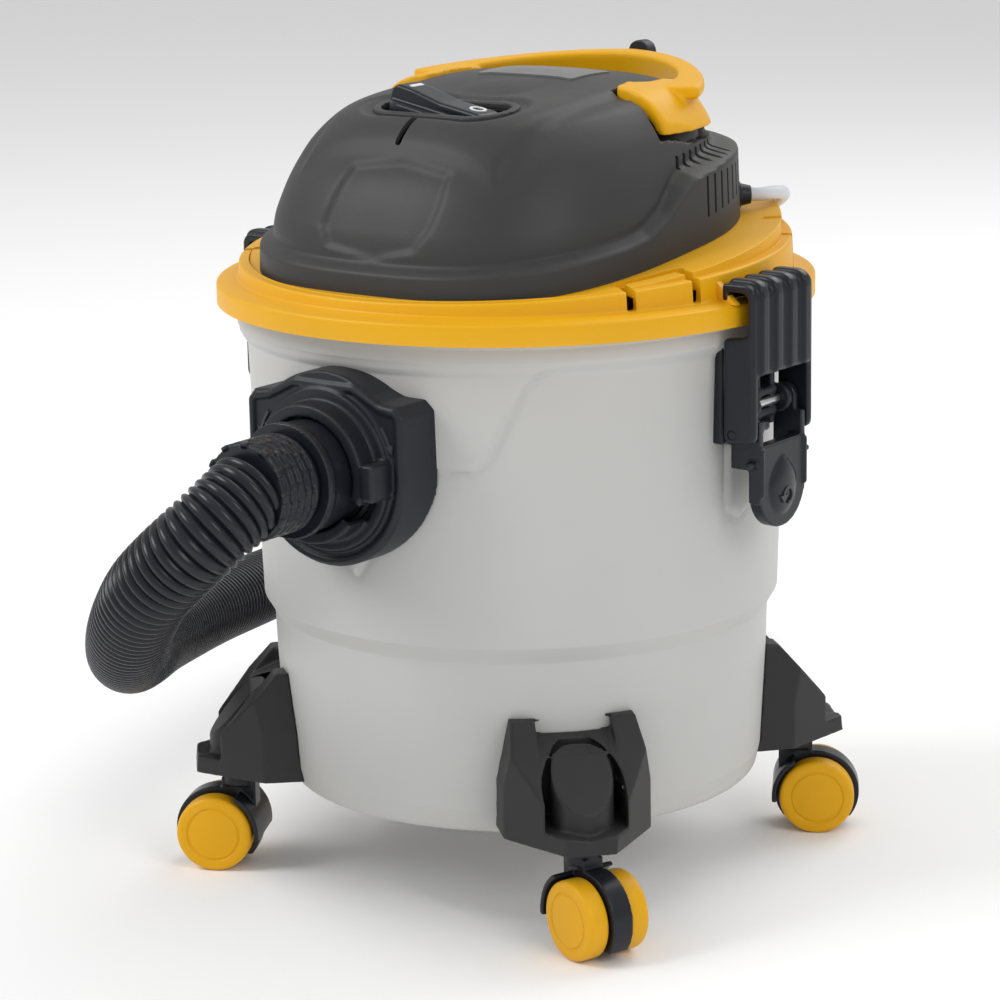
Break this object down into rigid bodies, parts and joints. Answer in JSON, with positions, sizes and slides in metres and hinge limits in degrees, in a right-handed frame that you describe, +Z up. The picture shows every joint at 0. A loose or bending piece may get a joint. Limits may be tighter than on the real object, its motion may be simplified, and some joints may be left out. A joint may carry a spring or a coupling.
{
  "type": "shop vacuum",
  "caption": "Wet and dry shop vacuum: tapered plastic tank on swivel castors, clip-on motor head with carry handle, side latches and a corrugated hose in a bayonet inlet.",
  "frame": {"origin": "on the tank's axis at floor level, under the middle of the tank", "axes": "+Z up, the hose inlet faces -Y, +X to the right when facing the inlet"},
  "size_m": [0.4742, 0.6694, 0.418],
  "materials": {
    "tank_plastic": "fine satin moulded polypropylene, light warm grey",
    "yellow_plastic": "fine grained moulded plastic, warm yellow",
    "hood_plastic": "fine grained moulded plastic, dark grey",
    "bracket_plastic": "fine grained moulded plastic, charcoal",
    "black_plastic": "satin moulded plastic, blue black",
    "hose_plastic": "extruded soft plastic with a soft shine",
    "wheel_yellow": "satin moulded plastic, warm yellow",
    "rubber": "matt moulded rubber",
    "steel": "drawn and zinc plated",
    "plate_grey": "blank printed film, mid grey",
    "copper": "enamelled copper windings and laminated iron",
    "aluminium": "pressed sheet",
    "foam": "open cell foam sleeve",
    "cable_sheath": "soft light grey cable sheath",
    "float_white": "smooth hollow plastic ball"
  },
  "bodies": {
    "tank_unit": {"tank": "tank_plastic", "inlet_housing": "black_plastic", "inlet_seal": "rubber", "inlet_deflector": "black_plastic", "inlet_screws": "steel", "bracket_front_right": "bracket_plastic", "bracket_front_left": "bracket_plastic", "bracket_rear_right": "bracket_plastic", "bracket_rear_left": "bracket_plastic", "bracket_screws": "steel", "latch_base_right": "black_plastic", "latch_base_left": "black_plastic", "latch_pivot_pins": "steel", "hose_run": "hose_plastic", "hose_cuff": "black_plastic", "hose_end_cuff": "black_plastic", "cable_coil": "cable_sheath", "cable_plug": "cable_sheath", "cable_tie": "rubber"},
    "connector": {"hose_connector": "black_plastic", "connector_ring": "rubber"},
    "head": {"lid": "yellow_plastic", "lid_seal": "rubber", "hood": "hood_plastic", "hood_screws": "steel", "rating_plate": "plate_grey", "motor_stator": "copper", "motor_brushes": "rubber", "motor_frame": "aluminium", "motor_bearings": "steel", "motor_seal": "rubber", "turbine_housing": "aluminium", "filter_cage": "black_plastic", "foam_filter": "foam", "switch_body": "black_plastic", "cord_gland": "black_plastic", "cord_hook": "black_plastic", "handle_pins": "steel", "cable_lead": "cable_sheath"},
    "handle": {"carry_handle": "yellow_plastic"},
    "rocker": {"rocker": "black_plastic"},
    "rotor": {"rotor_shaft": "steel", "armature": "copper", "fan": "aluminium"},
    "float": {"float_ball": "float_white"},
    "lever_right": {"latch_lever_right": "black_plastic"},
    "lever_left": {"latch_lever_left": "black_plastic"},
    "hook_right": {"latch_hook_right": "black_plastic"},
    "hook_left": {"latch_hook_left": "black_plastic"},
    "castor_front_right": {"castor_front_right": "black_plastic"},
    "wheels_front_right": {"wheels_front_right": "wheel_yellow"},
    "castor_front_left": {"castor_front_left": "black_plastic"},
    "wheels_front_left": {"wheels_front_left": "wheel_yellow"},
    "castor_rear_right": {"castor_rear_right": "black_plastic"},
    "wheels_rear_right": {"wheels_rear_right": "wheel_yellow"},
    "castor_rear_left": {"castor_rear_left": "black_plastic"},
    "wheels_rear_left": {"wheels_rear_left": "wheel_yellow"}
  },
  "joints": [
    {"name": "head_lift", "type": "slide", "parent": "tank_unit", "child": "head", "axis": [0, 0, 1], "range_m": [0, 0.16]},
    {"name": "connector_turn", "type": "hinge", "parent": "tank_unit", "child": "connector", "pos_m": [0, -0.155, 0.237], "axis": [0, 1, 0], "range_deg": [0, 30]},
    {"name": "handle_swing", "type": "hinge", "parent": "head", "child": "handle", "pos_m": [0, 0.008, 0.397], "axis": [1, 0, 0], "range_deg": [0, 80]},
    {"name": "rocker_tilt", "type": "hinge", "parent": "head", "child": "rocker", "pos_m": [0, -0.055, 0.392], "axis": [0, -1, 0], "range_deg": [0, 22]},
    {"name": "rotor_spin", "type": "hinge", "parent": "head", "child": "rotor", "pos_m": [0, 0, 0.32], "axis": [0, 0, 1], "continuous": true},
    {"name": "float_rise", "type": "slide", "parent": "head", "child": "float", "axis": [0, 0, 1], "range_m": [0, 0.044]},
    {"name": "lever_right_open", "type": "hinge", "parent": "tank_unit", "child": "lever_right", "pos_m": [0.15, 0, 0.259], "axis": [0, -1, 0], "range_deg": [0, 100]},
    {"name": "hook_right_tip", "type": "hinge", "parent": "lever_right", "child": "hook_right", "pos_m": [0.1485, 0, 0.247], "axis": [0, -1, 0], "range_deg": [-125, 0]},
    {"name": "lever_left_open", "type": "hinge", "parent": "tank_unit", "child": "lever_left", "pos_m": [-0.15, 0, 0.259], "axis": [0, 1, 0], "range_deg": [0, 100]},
    {"name": "hook_left_tip", "type": "hinge", "parent": "lever_left", "child": "hook_left", "pos_m": [-0.1485, 0, 0.247], "axis": [0, 1, 0], "range_deg": [-125, 0]},
    {"name": "swivel_front_right", "type": "hinge", "parent": "tank_unit", "child": "castor_front_right", "pos_m": [0.11059, -0.10134, 0.05], "axis": [0, 0, 1], "continuous": true},
    {"name": "roll_front_right", "type": "hinge", "parent": "castor_front_right", "child": "wheels_front_right", "pos_m": [0.1214, -0.10527, 0.02], "axis": [0.342, 0.9397, 0], "continuous": true},
    {"name": "swivel_front_left", "type": "hinge", "parent": "tank_unit", "child": "castor_front_left", "pos_m": [-0.11059, -0.10134, 0.05], "axis": [0, 0, 1], "continuous": true},
    {"name": "roll_front_left", "type": "hinge", "parent": "castor_front_left", "child": "wheels_front_left", "pos_m": [-0.12075, -0.10674, 0.02], "axis": [0.4695, -0.8829, 0], "continuous": true},
    {"name": "swivel_rear_right", "type": "hinge", "parent": "tank_unit", "child": "castor_rear_right", "pos_m": [0.09841, 0.11321, 0.05], "axis": [0, 0, 1], "continuous": true},
    {"name": "roll_rear_right", "type": "hinge", "parent": "castor_rear_right", "child": "wheels_rear_right", "pos_m": [0.10827, 0.11913, 0.02], "axis": [-0.515, 0.8572, 0], "continuous": true},
    {"name": "swivel_rear_left", "type": "hinge", "parent": "tank_unit", "child": "castor_rear_left", "pos_m": [-0.09841, 0.11321, 0.05], "axis": [0, 0, 1], "continuous": true},
    {"name": "roll_rear_left", "type": "hinge", "parent": "castor_rear_left", "child": "wheels_rear_left", "pos_m": [-0.10416, 0.12317, 0.02], "axis": [-0.866, -0.5, 0], "continuous": true}
  ],
  "couplings": [
    {"joint": "hook_right_tip", "follows": "lever_right_open", "ratio": -1.2273},
    {"joint": "hook_left_tip", "follows": "lever_left_open", "ratio": -1.2273}
  ]
}
